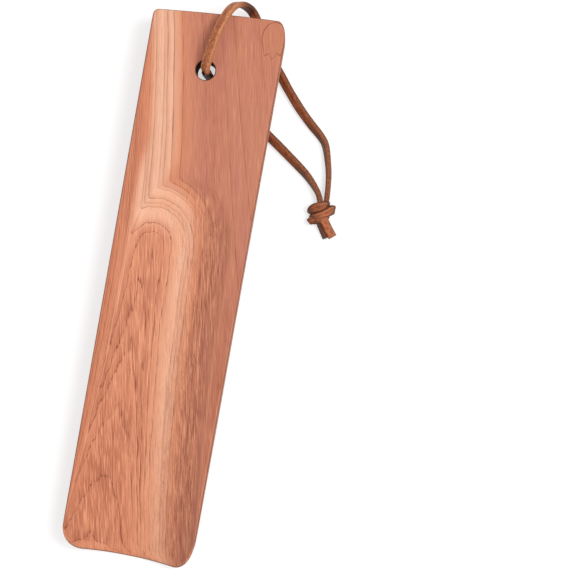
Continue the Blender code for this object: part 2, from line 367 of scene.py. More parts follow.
@dataclass(frozen=True)
class PhotoCamera:
    """The camera over the horn, turned a little, that frames it as the photograph does."""

    place: Triple = (0.0370, 0.00652, 0.450)
    turn: float = math.radians(10.18)
    lens: float = 84.0
    sensor: float = 36.0
    nearest: float = 0.01

    def build(self) -> Item:
        """Makes the camera and looks through it.

        Returns:
            The camera.
        """
        data = bpy.data.cameras.new("photo_camera")
        data.lens = self.lens
        data.sensor_width = self.sensor
        data.clip_start = self.nearest
        item = bpy.data.objects.new("photo_camera", data)
        item.location = self.place
        item.rotation_euler = (0.0, 0.0, self.turn)
        bpy.context.collection.objects.link(item)
        bpy.context.scene.camera = item
        return item


@dataclass(frozen=True)
class SmoothRoute:
    """A smooth curve through listed stops, in millimetres and degrees of turn where it turns."""

    stops: Sequence[Stop]
    origin: Triple = (0.0, 0.0, 0.0)
    fineness: int = 24
    measuring_step: float = 0.0005

    def _between(self, four: Sequence[Vector], share: float) -> Vector:
        """Gives the place at a share of the way from the second stop to the third.

        Args:
            four: The stop before, the two ends and the stop after.
            share: How far along, from 0 to 1.

        Returns:
            The place, with the turn as its last number.
        """
        before, start, end, after = four
        bend = before * 2 - start * 5 + end * 4 - after
        twist = start * 3 - before - end * 3 + after
        return (start * 2 + (end - before) * share + bend * share**2 + twist * share**3) / 2

    def points(self, step: float) -> list[tuple[Vector, float]]:
        """Places points along the curve.

        Args:
            step: The distance from one to the next, about, in metres.

        Returns:
            Each point in metres, with the turn there in radians.
        """
        ends = [Vector((*stop, 0.0)[:4]) for stop in self.stops]
        ends = [ends[0] * 2 - ends[1], *ends, ends[-1] * 2 - ends[-2]]
        fine: list[Vector] = []
        for four in zip(ends, ends[1:], ends[2:], ends[3:]):
            fine += [self._between(four, k / self.fineness) for k in range(self.fineness)]
        fine.append(ends[-2])
        steps = [(end.xyz - start.xyz).length for start, end in zip(fine, fine[1:])]
        lengths = list(accumulate(steps, initial=0.0))
        count = max(2, round(lengths[-1] * MM / step))
        marks = [bisect_left(lengths, lengths[-1] * k / count) for k in range(1, count)]
        chosen = [fine[0], *(fine[i] for i in marks), fine[-1]]
        shift = Vector(self.origin)
        return [(shift + place.xyz * MM, math.radians(place.w)) for place in chosen]

    def length(self) -> float:
        """Measures the curve, in metres."""
        places = [place for place, _ in self.points(self.measuring_step)]
        return sum((end - start).length for start, end in zip(places, places[1:]))


@dataclass(frozen=True)
class LaceSection:
    """The lace cut across: a flat bar with rounded corners."""

    width: float = 0.0031
    thickness: float = 0.0018
    corner: float = 0.0006
    corner_steps: int = 4
    width_steps: int = 9
    thickness_steps: int = 5

    def points(self) -> list[Pair]:
        """Goes once round the section.

        Returns:
            Places as distances through and across the lace, in metres.
        """
        half_thick, half_wide = self.thickness / 2 - self.corner, self.width / 2 - self.corner
        places: list[Pair] = []
        for quarter, (through, across) in enumerate(((1, 1), (-1, 1), (-1, -1), (1, -1))):
            for k in range(self.corner_steps + 1):
                angle = math.pi / 2 * (quarter + k / self.corner_steps)
                x = through * half_thick + self.corner * math.cos(angle)
                y = across * half_wide + self.corner * math.sin(angle)
                places.append((x, y))
        return self._fill(places)

    def _fill(self, corners: Sequence[Pair]) -> list[Pair]:
        """Adds places along the long straight stretches.

        Args:
            corners: The places on the rounded corners.

        Returns:
            The same places with more between those that lie far apart.
        """
        filled: list[Pair] = []
        for start, end in zip(corners, [*corners[1:], corners[0]]):
            gap = math.dist(start, end)
            count = 1
            if gap > self.corner:
                count = self.width_steps if abs(end[1] - start[1]) > gap / 2 else self.thickness_steps
            for k in range(count):
                share = k / count
                filled.append(tuple(a + (b - a) * share for a, b in zip(start, end)))
        return filled


# The hanging hole's place on the floor, from which the two strands are measured
LACE_ORIGIN = (-0.0018, 0.07141, 0.0)
# Every route: millimetres across, along and up, and degrees where the lace turns on itself
ROUTES: dict[str, tuple[Stop, ...]] = {
    "front_strand": (
        (46.3, -33.4, 1.62, 0), (46.0, -29.4, 1.62, 0), (45.4, -25.0, 1.62, 4),
        (44.3, -20.6, 1.60, 10), (42.8, -16.1, 1.58, 20), (40.8, -13.4, 1.57, 30),
        (36.5, -9.6, 1.55, 42), (32.1, -5.3, 1.53, 48), (27.6, -0.2, 1.53, 48),
        (24.1, 4.2, 1.53, 48), (19.4, 10.0, 1.53, 48), (15.3, 15.1, 1.60, 50),
        (14.0, 18.0, 1.90, 60), (12.6, 21.2, 2.80, 65), (10.8, 23.2, 4.70, 65),
        (9.1, 23.8, 7.60, 60), (7.5, 23.6, 10.7, 55), (6.0, 22.5, 13.8, 48),
        (4.7, 20.4, 16.6, 45), (3.5, 17.1, 18.7, 45), (2.5, 13.6, 19.7, 45),
        (1.6, 9.6, 19.8, 45), (0.9, 5.6, 19.7, 45), (0.4, 2.5, 18.9, 45),
        (0.1, 0.7, 17.3, 45), (0.0, 0.0, 15.3, 45), (0.0, 0.0, 12.6, 45),
        (0.0, 0.0, 9.9, 45),
    ),
    "back_strand": (
        (43.7, -33.3, 1.62, 0), (42.9, -31.8, 1.62, 4), (41.0, -29.5, 1.60, 14),
        (38.7, -27.2, 1.58, 25), (36.4, -25.3, 1.57, 34), (32.0, -22.1, 1.55, 43),
        (27.5, -18.9, 1.53, 48), (23.9, -16.4, 1.53, 48), (18.0, -12.2, 1.53, 48),
        (12.0, -8.1, 1.53, 48), (7.0, -4.7, 1.53, 46), (4.6, -3.1, 1.53, 43),
        (2.8, -1.9, 1.53, 39), (1.4, -0.95, 2.05, 36), (0.4, -0.25, 3.50, 34),
        (0.0, 0.0, 5.30, 34), (0.0, 0.0, 7.50, 34), (0.0, 0.0, 9.60, 34),
    ),
    "over_wrap": (
        (45.0, 35.8, 1.6), (44.9, 35.7, 3.0), (44.2, 35.4, 4.2), (43.1, 35.0, 4.8),
        (42.0, 34.6, 4.8), (40.9, 34.0, 4.1), (40.3, 33.3, 2.9), (40.3, 32.6, 1.6),
    ),
    "across_wrap": (
        (46.0, 34.3, 1.0), (46.9, 34.7, 1.9), (47.1, 34.7, 3.2), (46.4, 34.4, 4.2),
        (45.2, 33.5, 4.9), (43.8, 32.6, 5.0), (42.3, 32.0, 4.4), (41.0, 31.6, 3.2),
        (40.6, 31.4, 2.0),
    ),
    "left_nub": ((42.2, 32.2, 2.6), (41.5, 31.2, 2.9), (40.8, 30.3, 2.5), (40.1, 29.5, 1.9)),
    "lower_turn": ((40.9, 30.1, 1.6), (41.7, 30.1, 2.0), (42.8, 30.6, 2.5), (43.8, 31.3, 2.7)),
    "right_tail": (
        (44.2, 32.4, 3.4), (44.7, 31.0, 3.7), (45.8, 29.4, 3.1), (47.2, 27.6, 2.4),
        (48.6, 25.9, 2.0),
    ),
    "left_tail": ((42.9, 31.4, 2.4), (43.6, 29.6, 1.9), (44.9, 27.5, 1.4), (46.5, 25.1, 1.2)),
    "front_neck": ((44.5, 38.0, 1.62), (44.4, 36.9, 1.9), (44.1, 35.4, 2.3), (43.9, 34.2, 2.5)),
    "back_neck": ((41.9, 38.1, 1.62), (42.4, 36.9, 1.9), (42.7, 35.4, 2.3), (42.9, 34.2, 2.5)),
}


@dataclass(frozen=True)
class LaceStrip:
    """A stretch of lace along the route of its name, with cut sides that are a little ragged.

    It is rubbed, and painted lighter as lit, from one distance along it to another, both past its end
    where it isn't.
    """

    name: str
    face: Triple | None = None
    section: LaceSection = LaceSection()
    origin: Triple = (0.0, 0.0, 0.0)
    step: float = 0.0004
    seed: float = 0.0
    taper: float = 0.0
    # painted shade over the whole strip
    shade: float = 0.0
    # where the lace is rubbed, and painted lighter as lit
    rubbed_and_lit: Pair = (1.0, 2.0)
    lowest: float = 0.00002
    waver: float = 0.03
    waver_length_mm: float = 5.0
    waver_layer: float = 2.0
    ragged: float = 0.00005
    ragged_length_mm: float = 0.5
    ragged_width_mm: float = 0.6
    face_raggedness: float = 0.25
    cut_side: Pair = (0.80, 0.98)

    def route(self) -> SmoothRoute:
        """The smooth curve that the strip follows."""
        return SmoothRoute(ROUTES[self.name], self.origin)

    def _frames(self, places: Sequence[tuple[Vector, float]]) -> list[Quaternion]:
        """Turns the section along the route with as little twist as can be.

        Args:
            places: The points of the route, each with its turn.

        Returns:
            For each point, the turn that takes the section's plane there.
        """
        ways = [(end[0] - start[0]).normalized() for start, end in zip(places, places[1:])]
        aims = [ways[0]]
        aims += [(before + after).normalized() for before, after in zip(ways, ways[1:])]
        aims.append(ways[-1])
        turn = aims[0].to_track_quat("Z", "Y")
        if self.face:
            through = Vector(self.face).cross(aims[0]).cross(aims[0]) * -1
            through.normalize()
            basis = Matrix((through, aims[0].cross(through), aims[0])).transposed()
            turn = basis.to_quaternion()
        turns = [turn]
        for before, after in zip(aims, aims[1:]):
            turn = before.rotation_difference(after) @ turn
            turns.append(turn)
        rolls = [Quaternion(aim, roll) for aim, (_, roll) in zip(aims, places)]
        return [roll @ turn for roll, turn in zip(rolls, turns)]

    def _ring(self, place: Vector, turn: Quaternion, along: float, total: float) -> list[Vector]:
        """Sets the section's points round one place of the route, pressed flat on the table.

        Args:
            place: The middle of the section.
            turn: How the section stands.
            along: The distance from the strip's start, in metres.
            total: The strip's whole length, in metres.

        Returns:
            The points of the ring.
        """
        mark = along / MM + self.seed
        bend = noise.noise(Vector((mark / self.waver_length_mm, self.seed, self.waver_layer)))
        spread = 1 + self.waver * bend - self.taper * along / total
        ring = []
        for through, across in self.section.points():
            cut = smooth_step(*self.cut_side, abs(across) / (self.section.width / 2))
            rough = self.ragged * (self.face_raggedness + (1 - self.face_raggedness) * cut)
            fine = [part / MM / self.ragged_width_mm for part in (across, through)]
            wave = noise.noise(Vector((mark / self.ragged_length_mm, *fine)))
            outward = Vector((through, across, 0)).normalized() * rough * wave
            point = place + turn @ (Vector((through, across * spread, 0)) + outward)
            point.z = max(point.z, self.lowest)
            ring.append(point)
        return ring

    def _mark(self, ring: Sequence[bmesh.types.BMVert], layers: Sequence[object], along: float) -> None:
        """Notes where each point of a ring lies on the lace, and its painted shade and how rubbed it is
        there.

        Args:
            ring: The ring's points.
            layers: The attributes for the place, and for the painted shade and the rubbing.
            along: The distance from the strip's start, in metres.
        """
        half_wide, half_thick = self.section.width / 2, self.section.thickness / 2
        rubbed_and_lit = smooth_step(*self.rubbed_and_lit, along)
        for vertex, (through, across) in zip(ring, self.section.points()):
            vertex[layers[0]] = (along / MM + self.seed, across / half_wide, through / half_thick)
            vertex[layers[1]] = (self.shade * (1 - rubbed_and_lit), rubbed_and_lit, 0.0)

    def build(self) -> Item:
        """Sweeps the section along the route and closes both ends.

        Returns:
            The strip, with a lace attribute of where each point lies and an attribute of painted shade
            and rubbing.
        """
        places, total = self.route().points(self.step), self.route().length()
        bm = bmesh.new()
        layers = [bm.verts.layers.float_vector.new(name) for name in ("lace", "shade_and_wear")]
        rings, along, last = [], 0.0, places[0][0]
        for (place, _), turn in zip(places, self._frames(places)):
            along += (place - last).length
            last = place
            ring = [bm.verts.new(point) for point in self._ring(place, turn, along, total)]
            self._mark(ring, layers, along)
            rings.append(ring)
        for ring, after in zip(rings, rings[1:]):
            for corners in zip(ring, [*ring[1:], ring[0]], [*after[1:], after[0]], after):
                bm.faces.new(corners)
        bm.faces.new(reversed(rings[0]))
        bm.faces.new(rings[-1])
        bmesh.ops.recalc_face_normals(bm, faces=bm.faces)
        mesh = bpy.data.meshes.new(self.name)
        bm.to_mesh(mesh)
        bm.free()
        mesh.shade_smooth()
        item = bpy.data.objects.new(self.name, mesh)
        bpy.context.collection.objects.link(item)
        return item


@dataclass(frozen=True)
class Lace:
    """The lace's two free strands, each from the hanging hole to the knot."""

    width: float = 0.0032
    path_step: float = 0.002
    front: LaceStrip = LaceStrip(
        "front_strand", origin=LACE_ORIGIN, seed=3.0, shade=0.25, rubbed_and_lit=(0.072, 0.082)
    )
    front_exit: Triple = (-0.0018, 0.0714, 0.0149)
    back: LaceStrip = LaceStrip("back_strand", origin=LACE_ORIGIN, seed=211.0, shade=0.28)
    back_exit: Triple = (-0.0018, 0.0714, 0.0035)

    def _declare(self, strip: LaceStrip) -> None:
        """Measures a strand's route, without keeping the numbers, and hides the CAD solid it stands
        for.

        Args:
            strip: The strand's sizes and route.
        """
        route = strip.route()
        round(route.length(), 4)
        [tuple(place) for place, _ in reversed(route.points(self.path_step))]
        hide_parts(f"lace_{strip.name}")

    def build(self, knot: Item) -> list[Item]:
        """Args:
            knot: The knot that they both end in. It is not used.

        Returns:
            The strands.
        """
        made = [strip.build() for strip in (self.front, self.back)]
        self._declare(self.front)
        self._declare(self.back)
        return made


@dataclass(frozen=True)
class LaceKnot:
    """The overhand knot: two laces tied as one, pulled tight, with two short cut tails."""

    core_place: Triple = (0.0435, 0.0327, 0.0026)
    core_size: Triple = (0.0060, 0.0064, 0.0044)
    rounded: LaceSection = LaceSection(width=0.0033, thickness=0.0018, corner=0.00085)
    wide: LaceSection = LaceSection(width=0.0035, thickness=0.0016, corner=0.0005)
    flat: LaceSection = LaceSection(width=0.0029, thickness=0.0016, corner=0.0005)
    narrow: LaceSection = LaceSection(width=0.0023, thickness=0.0016, corner=0.0005)

    def _strips(self) -> list[LaceStrip]:
        """Lays out every stretch of lace in the knot.

        Returns:
            The strips: two wraps, two short turns, two tails and two necks.
        """
        up, left = (0.0, 0.0, 1.0), (-1.0, 0.0, 0.0)
        return [
            LaceStrip("over_wrap", (1, 0, 0.2), self.rounded, seed=20.0, shade=0.3),
            LaceStrip("across_wrap", (1, 0, -0.5), self.wide, seed=40.0, taper=0.55),
            LaceStrip("left_nub", up, self.narrow, seed=60.0, shade=0.4),
            LaceStrip("lower_turn", up, self.narrow, seed=160.0, shade=0.5),
            LaceStrip("right_tail", up, self.flat, seed=80.0),
            LaceStrip("left_tail", (-0.8, 0, 0.6), self.narrow, seed=100.0, shade=0.6),
            LaceStrip("front_neck", left, seed=120.0, shade=0.2),
            LaceStrip("back_neck", left, seed=140.0, shade=0.2),
        ]

    def build(self) -> Item:
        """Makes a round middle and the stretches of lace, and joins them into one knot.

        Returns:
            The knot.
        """
        bpy.ops.object.select_all(action="DESELECT")
        bpy.ops.mesh.primitive_ico_sphere_add(
            subdivisions=4, radius=0.5, location=self.core_place, scale=self.core_size
        )
        core = bpy.context.object
        bpy.ops.object.transform_apply(location=True, rotation=True, scale=True)
        strips = [strip.build() for strip in self._strips()]
        for item in (*strips, core):
            item.select_set(True)
        bpy.context.view_layer.objects.active = strips[0]
        bpy.ops.object.join()
        knot = bpy.context.object
        knot.name = "tied_knot"
        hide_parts("lace_knot")
        return knot


def select_faces(item: Item, wanted: Callable[[bmesh.types.BMFace], bool]) -> None:
    """Selects some faces of a piece in edit mode, and no others.

    Args:
        item: The piece.
        wanted: Tells whether a face is one of them.
    """
    bpy.ops.mesh.select_all(action="DESELECT")
    bm = bmesh.from_edit_mesh(item.data)
    for face in filter(wanted, bm.faces):
        face.select_set(True)
    bmesh.update_edit_mesh(item.data)


@dataclass(frozen=True)
class CedarBoard:
    """The board, modelled again with soft edges, a smooth scoop and an eased lip."""

    length: float = 0.181
    width: float = 0.0437
    thickness: float = 0.011
    easing: float = 0.0008
    easing_steps: int = 4
    easing_angle: float = math.radians(40)
    easing_room: float = 0.45
    smooth_angle: float = math.radians(35)
    head_slant: float = math.radians(4.3)
    head_crown: float = 0.0003
    tip_slant: float = math.radians(1.2)
    head_left: Pair = (0.0017, 0.0020)
    head_right: Pair = (0.0035, 0.0072)
    tip_left: Pair = (0.0071, 0.0084)
    tip_right: Pair = (0.0062, 0.0108)
    corner_steps: int = 16
    head_steps: int = 12
    hole_diameter: float = 0.00635
    hole_from_head: float = 0.0185
    hole_aside: float = -0.0018
    hole_rim: float = 0.0003
    hole_sides: int = 72
    bit_overhang: float = 0.001
    level: float = 0.9
    scoop_length: float = 0.127
    scoop_radius: float = 0.033
    nose_stretch: float = 1.4
    scoop_depth: float = 0.0044
    scoop_drop: float = 0.095
    lip: float = 0.0018
    rim_softness: float = 0.00012
    rim_reach: float = 30.0
    lip_ease_length: float = 0.0045
    lip_ease_depth: float = 0.0007
    back_ease_length: float = 0.055
    back_ease_height: float = 0.0045
    back_flat: float = 0.010
    grid: float = 0.0006
    grid_margin: float = 1.02
    coarse: int = 4
    slope: float = math.asin(0.021213)
    rest: Triple = (0.0, -0.000457, 0.001906)

    def pose(self) -> Matrix:
        """How the board lies, with its head lifted by the lace."""
        return Matrix.Translation(self.rest) @ Matrix.Rotation(self.slope, 4, "X")

    def hole(self) -> Pair:
        """The middle of the hanging hole on the flat board."""
        return self.hole_aside, self.length / 2 - self.hole_from_head

    def _corner(self, before: Vector, corner: Vector, after: Vector, reach: Pair) -> list[Vector]:
        """Rounds one corner of the outline.

        Args:
            before: The corner that comes before.
            corner: The corner to round.
            after: The corner that comes after.
            reach: How far the rounding goes along the side before and the side after.

        Returns:
            Points on a quarter of an oval.
        """
        to_start = (before - corner).normalized() * reach[0]
        to_end = (after - corner).normalized() * reach[1]
        points = []
        for k in range(self.corner_steps + 1):
            turn = math.pi / 2 * k / self.corner_steps
            points.append(corner + to_start * (1 - math.sin(turn)) + to_end * (1 - math.cos(turn)))
        return points

    def outline(self) -> list[Vector]:
        """Goes once round the board as seen from the front, clockwise.

        Returns:
            The points of the outline.
        """
        half = self.width / 2
        rise, drop = half * math.tan(self.head_slant), half * math.tan(self.tip_slant)
        tip_left = Vector((-half, -self.length / 2 + drop))
        head_left = Vector((-half, self.length / 2 - rise))
        head_right = Vector((half, self.length / 2 + rise))
        tip_right = Vector((half, -self.length / 2 - drop))
        left = self._corner(tip_left, head_left, head_right, self.head_left[::-1])
        right = self._corner(head_left, head_right, tip_right, self.head_right)
        crown = []
        outward = Vector((-(right[0] - left[-1]).y, (right[0] - left[-1]).x)).normalized()
        for k in range(1, self.head_steps):
            share = k / self.head_steps
            swell = self.head_crown * 4 * share * (1 - share)
            crown.append(left[-1].lerp(right[0], share) + outward * swell)
        return [
            *self._corner(tip_right, tip_left, head_left, self.tip_left),
            *left,
            *crown,
            *right,
            *self._corner(head_right, tip_right, tip_left, self.tip_right[::-1]),
        ]

    def _scoop_floor(self, aside: float, from_tip: float) -> float:
        """Gives the height of the cutter's surface.

        Args:
            aside: The distance from the middle line.
            from_tip: The distance from the tip's line.

        Returns:
            The height, which is over the board outside the scoop.
        """
        nose_depth = self.scoop_radius - self.scoop_depth
        reach = self.nose_stretch * math.sqrt(self.scoop_radius**2 - nose_depth**2)
        share = max(0.0, 1 - from_tip / self.scoop_drop)
        depth = self.scoop_depth + (self.thickness - self.lip - self.scoop_depth) * share**2
        beyond = max(0.0, from_tip - self.scoop_length + reach) / self.nose_stretch
        rest = max(0.0, self.scoop_radius**2 - aside**2 - beyond**2)
        eased = max(0.0, 1 - max(0.0, from_tip) / self.lip_ease_length)
        floor = self.thickness - depth + self.scoop_radius - math.sqrt(rest)
        return floor - self.lip_ease_depth * eased**2

    def top(self, aside: float, y: float) -> float:
        """Gives the height of the front face, with a soft rim round the scoop.

        Args:
            aside: The distance from the middle line.
            y: The place along the board.

        Returns:
            The height over the flat back.
        """
        floor = self._scoop_floor(aside, y + self.length / 2)
        over = (self.thickness - floor) / self.rim_softness
        if over > self.rim_reach:
            return floor
        return self.thickness - self.rim_softness * math.log1p(math.exp(over))

    def bottom(self, aside: float, y: float) -> float:
        """Gives how far the back is rounded away.

        Args:
            aside: The distance from the middle line.
            y: The place along the board.

        Returns:
            The height over the flat part of the back.
        """
        along = min(1.0, max(0.0, 1 - (y + self.length / 2) / self.back_ease_length))
        half_flat = self.back_flat / 2
        across = max(0.0, abs(aside) - half_flat) / (self.width / 2 - half_flat)
        return self.back_ease_height * along**1.5 * across**2

    def _blank(self) -> Item:
        """Saws the blank to its outline and eases its edges.

        Returns:
            The blank, lying on its back.
        """
        outline = self.outline()
        bpy.ops.mesh.primitive_circle_add(vertices=len(outline), fill_type="NGON")
        blank = bpy.context.object
        blank.name = "cedar_board"
        for vertex, point in zip(blank.data.vertices, reversed(outline)):
            vertex.co = (point.x, point.y, 0.0)
        bpy.ops.object.mode_set(mode="EDIT")
        bpy.ops.mesh.select_all(action="SELECT")
        bpy.ops.mesh.extrude_region_move(TRANSFORM_OT_translate={"value": (0, 0, self.thickness)})
        bpy.ops.mesh.select_all(action="SELECT")
        bpy.ops.mesh.normals_make_consistent(inside=False)
        bpy.ops.object.mode_set(mode="OBJECT")
        eased = blank.modifiers.new("eased_edges", "BEVEL")
        eased.width = self.easing
        eased.segments = self.easing_steps
        eased.limit_method = "ANGLE"
        eased.angle_limit = self.easing_angle
        bpy.ops.object.modifier_apply(modifier=eased.name)
        return blank

    def _slice(self, blank: Item) -> None:
        """Cuts the blank's faces into a fine net, coarser across the back.

        Args:
            blank: The blank.
        """
        bpy.ops.object.mode_set(mode="EDIT")
        reach = self.length * self.grid_margin
        rows = round(reach / self.grid)
        for k in range(1, rows):
            bpy.ops.mesh.select_all(action="SELECT")
            bpy.ops.mesh.bisect(plane_co=(0, reach * (k / rows - 0.5), 0), plane_no=(0, 1, 0))
        columns = round(self.width / self.grid)
        for k in range(1, columns):
            if k % self.coarse == 0:
                bpy.ops.mesh.select_all(action="SELECT")
            else:
                select_faces(blank, self._is_high)
            x = self.width * (k / columns - 0.5)
            bpy.ops.mesh.bisect(plane_co=(x, 0, 0), plane_no=(1, 0, 0))
        bpy.ops.object.mode_set(mode="OBJECT")

    def _is_high(self, face: bmesh.types.BMFace) -> bool:
        """Tells whether a face is above the middle of the blank's thickness."""
        return all(vertex.co.z > self.thickness / 2 for vertex in face.verts)

    def _shape(self, blank: Item) -> None:
        """Sinks the front into the scoop and lifts the back beside the tip.

        Args:
            blank: The sliced blank.
        """
        for vertex in blank.data.vertices:
            x, y, z = vertex.co
            top, bottom = self.top(x, y), self.bottom(x, y)
            room = min(1.0, self.easing_room * (top - bottom) / self.easing)
            if z > self.thickness / 2:
                vertex.co.z = top - (self.thickness - z) * room
            else:
                vertex.co.z = bottom + z * room

    def _drill(self, blank: Item) -> None:
        """Drills the hanging hole, with its two rims a little worn.

        Args:
            blank: The shaped board.
        """
        bpy.ops.mesh.primitive_cylinder_add(
            vertices=self.hole_sides,
            radius=self.hole_diameter / 2,
            depth=self.thickness,
            location=(*self.hole(), self.thickness / 2),
        )
        bit = bpy.context.object
        bpy.ops.object.mode_set(mode="EDIT")
        for side in (1, -1):
            self._flare(bit, side)
        bpy.ops.object.mode_set(mode="OBJECT")
        cut = blank.modifiers.new("hanging_hole", "BOOLEAN")
        cut.operation = "DIFFERENCE"
        cut.solver = "EXACT"
        cut.object = bit
        bpy.context.view_layer.objects.active = blank
        bpy.ops.object.modifier_apply(modifier=cut.name)
        bpy.data.objects.remove(bit)

    def _flare(self, bit: Item, side: int) -> None:
        """Widens one end of the drill's shape where it leaves the board.

        Args:
            bit: The drill's shape, in edit mode.
            side: 1 for its upper end and -1 for its lower end.
        """
        select_faces(bit, lambda face: face.normal.z * side > self.level)
        bpy.ops.transform.translate(value=(0, 0, -self.hole_rim * side))
        widen = 1 + self.hole_rim / (self.hole_diameter / 2)
        for rise, wider in ((self.hole_rim, widen), (self.bit_overhang, 1.0)):
            bpy.ops.mesh.extrude_region_move(TRANSFORM_OT_translate={"value": (0, 0, rise * side)})
            bpy.ops.transform.resize(value=(wider, wider, 1))

    def build(self) -> Item:
        """Makes the board and lays it on the lace.

        Returns:
            The board, in the place of its CAD solid.
        """
        bpy.ops.object.select_all(action="DESELECT")
        board = self._blank()
        self._slice(board)
        self._shape(board)
        self._drill(board)
        board.data.transform(self.pose())
        bpy.ops.object.select_all(action="DESELECT")
        board.select_set(True)
        bpy.context.view_layer.objects.active = board
        bpy.ops.object.shade_smooth_by_angle(angle=self.smooth_angle)
        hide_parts("cedar_body")
        return board


@dataclass
class CedarFinish:
    """Sanded red cedar, with its growth rings followed through the solid wood.

    Growth counts up from ring to ring, in millimetres. It is the height in the board plus a bowed
    surface, whose shares are given for units of 20 mm across and 60 mm along. The rings' late wood
    is listed as growth and darkness, and the heartwood as growth and colour. The pace is the growth
    per millimetre along the surface, which is small where a ring is cut nearly along its face.
    Patterns and rises are in millimetres, of growth, pace, height or place as their names say.
    """

    shape: CedarBoard
    name: str = "sanded_cedar"
    unit_across: float = 20.0
    unit_along: float = 60.0
    lean_across: float = 3.9
    bow_across: float = -1.95
    bow_along: float = 1.3
    skew: float = 0.75
    curl_across: float = 0.7
    curl_along: float = 1.3
    wander: Cloud = Cloud((12.0, 50.0, 12.0), -0.04, 0.04)
    ripple: Cloud = Cloud((2.5, 15.0, 2.5), -0.045, 0.045)
    jitter: Cloud = Cloud((0.55, 8.0, 1.5), -0.022, 0.022)
    grain_lean: float = 0.18
    side_facing: Rise = Rise(0.9, 0.98)
    head_shift: Rise = Rise(14.0, 46.0, 2.2)
    heartwood: tuple[tuple[float, Colour], ...] = (
        (-9.0, (203, 131, 101)), (-6.0, (216, 142, 108)), (-3.5, (200, 128, 100)),
        (-1.0, (221, 146, 112)), (1.0, (206, 132, 102)), (2.2, (231, 153, 117)),
        (3.7, (216, 135, 102)), (4.8, (220, 137, 102)), (5.75, (250, 170, 131)),
        (7.4, (226, 146, 111)), (8.3, (221, 144, 108)), (9.0, (206, 132, 103)),
        (10.0, (193, 122, 98)), (11.0, (194, 122, 97)), (12.2, (197, 127, 101)),
        (13.2, (196, 126, 100)), (15.0, (196, 125, 96)), (19.0, (202, 127, 94)),
    )
    sapwood_colour: Colour = (247, 190, 158)
    sapwood_growth: Rise = Rise(5.6, 7.0)
    sapwood_end: Rise = Rise(8.4, 7.2)
    sapwood_nose_place: Rise = Rise(12.0, 28.0, 0.8)
    sapwood_nose_height: Rise = Rise(10.9, 9.5)
    sapwood_head_place: Rise = Rise(32.0, 50.0, -1.1)
    sapwood_tip_place: Rise = Rise(-85.0, -20.0, 1.0, 0.6)
    # painted shade in patches where the rings are cut nearly along the surface
    shade_colour: Colour = (170, 96, 70)
    shade_patches: Cloud = Cloud((5.0, 22.0, 5.0), 0.28, 0.84)
    shade_pace: Rise = Rise(0.18, 0.06)
    rings: tuple[Pair, ...] = (
        (-6.9, 0.4), (-4.6, 0.4), (-2.8, 0.6), (-1.2, 0.6), (0.6, 0.8), (1.9, 0.6), (2.9, 0.8),
        (3.97, 1.0), (4.6, 0.9), (5.14, 0.5), (5.42, 0.9), (5.6, 1.0), (5.84, 0.6), (6.15, 0.6),
        (7.05, 0.6), (7.35, 0.6), (7.75, 0.9), (8.7, 0.5), (9.05, 0.8), (9.7, 1.0), (10.55, 0.9),
        (12.45, 0.7), (13.0, 0.5), (14.0, 0.7), (15.0, 0.6), (17.2, 0.5),
    )
    flame_pace: Rise = Rise(0.22, 0.1, 2.3, 1.0)
    band_colour: Colour = (178, 102, 74)
    band_width: float = 3.0
    band_limits: Pair = (0.1, 0.55)
    band_patches: Cloud = Cloud((4.0, 25.0, 4.0), 0.15, 0.45)
    line_colour: Colour = (148, 80, 58)
    line_width: float = 0.27
    line_limits: Pair = (0.014, 0.085)
    line_patches: Cloud = Cloud((3.0, 16.0, 3.0), 0.3, 1.0)
    fine_lines: Cloud = Cloud((0.15, 1.0, 1.0), detail=1.0)
    fine_share: Pair = (0.5, 1.0)
    fine_pace: Rise = Rise(0.12, 0.5, 0.5)
    figure_colour: Colour = (140, 76, 54)
    figure_place: Pair = (18.3, 86.0)
    figure_size: Pair = (3.9, 5.2)
    figure_line: Rise = Rise(0.065, 0.0)
    figure_foot: Rise = Rise(84.0, 82.0, 1.35)
    figure_teeth: float = 1.25
    figure_rough: Cloud = Cloud((0.8, 0.8, 0.8), -0.2, 0.2)
    mauve_colour: Colour = (187, 116, 101)
    mauve_patches: Cloud = Cloud((5.0, 45.0, 5.0), -0.35, 0.5)
    mauve_growth: Rise = Rise(8.6, 10.0)
    cut_height: Rise = Rise(10.9, 9.0, 1.0, 0.34)
    pale_colour: Colour = (246, 169, 131)
    pale_broad: Cloud = Cloud((0.9, 32.0, 2.0), -0.2, 0.28)
    pale_fibres: Cloud = Cloud((0.2, 7.0, 1.6), -0.62, 0.98)
    fleck_colour: Colour = (134, 60, 38)
    streaks: Cloud = Cloud((0.15, 6.0, 1.4), detail=3.0)
    streak_share: Rise = Rise(0.5, 1.0, 0.75)
    dashes: Cloud = Cloud((0.13, 1.6, 0.8), detail=1.0)
    dash_share: Rise = Rise(0.66, 0.95, 0.7)
    dash_patches: Cloud = Cloud((4.0, 12.0, 4.0))
    torn_pace: Rise = Rise(0.1, 0.45, 1.0, 0.35)
    torn_facing: Rise = Rise(0.28, 0.13)
    # painted shade along the board's eased edges
    edge_shading_colour: Colour = (116, 70, 52)
    edge_shade_steep: Rise = Rise(0.9, 0.5, 0.9)
    side_steep: Rise = Rise(0.45, 0.1, 0.8)
    # painted shade on the wall of the hanging hole
    hole_shade_colour: Colour = (42, 20, 13)
    hole_reach: Rise = Rise(4.5, 3.5)
    hole_steep: Rise = Rise(0.9, 0.5)
    roughness: Cloud = Cloud((1.0, 12.0, 1.0), 0.5, 0.62)
    gloss: float = 0.2
    line_depth: float = 0.5
    relief: float = 0.00006

    def __post_init__(self) -> None:
        """Starts the material, and works out what the wood's patterns are laid on."""
        self.material, self.bench, self.shader = new_material(self.name)
        self.board = self._flat_board()
        self.x, self.y, self.height = self.board.parts()
        self.across, self.along = self.x / self.unit_across, self.y / self.unit_along
        self.grain = self._grain()
        self.grown = self._grown()
        self.pace = self._pace()
        self.tone = self.grown - self.y.rise(self.head_shift)

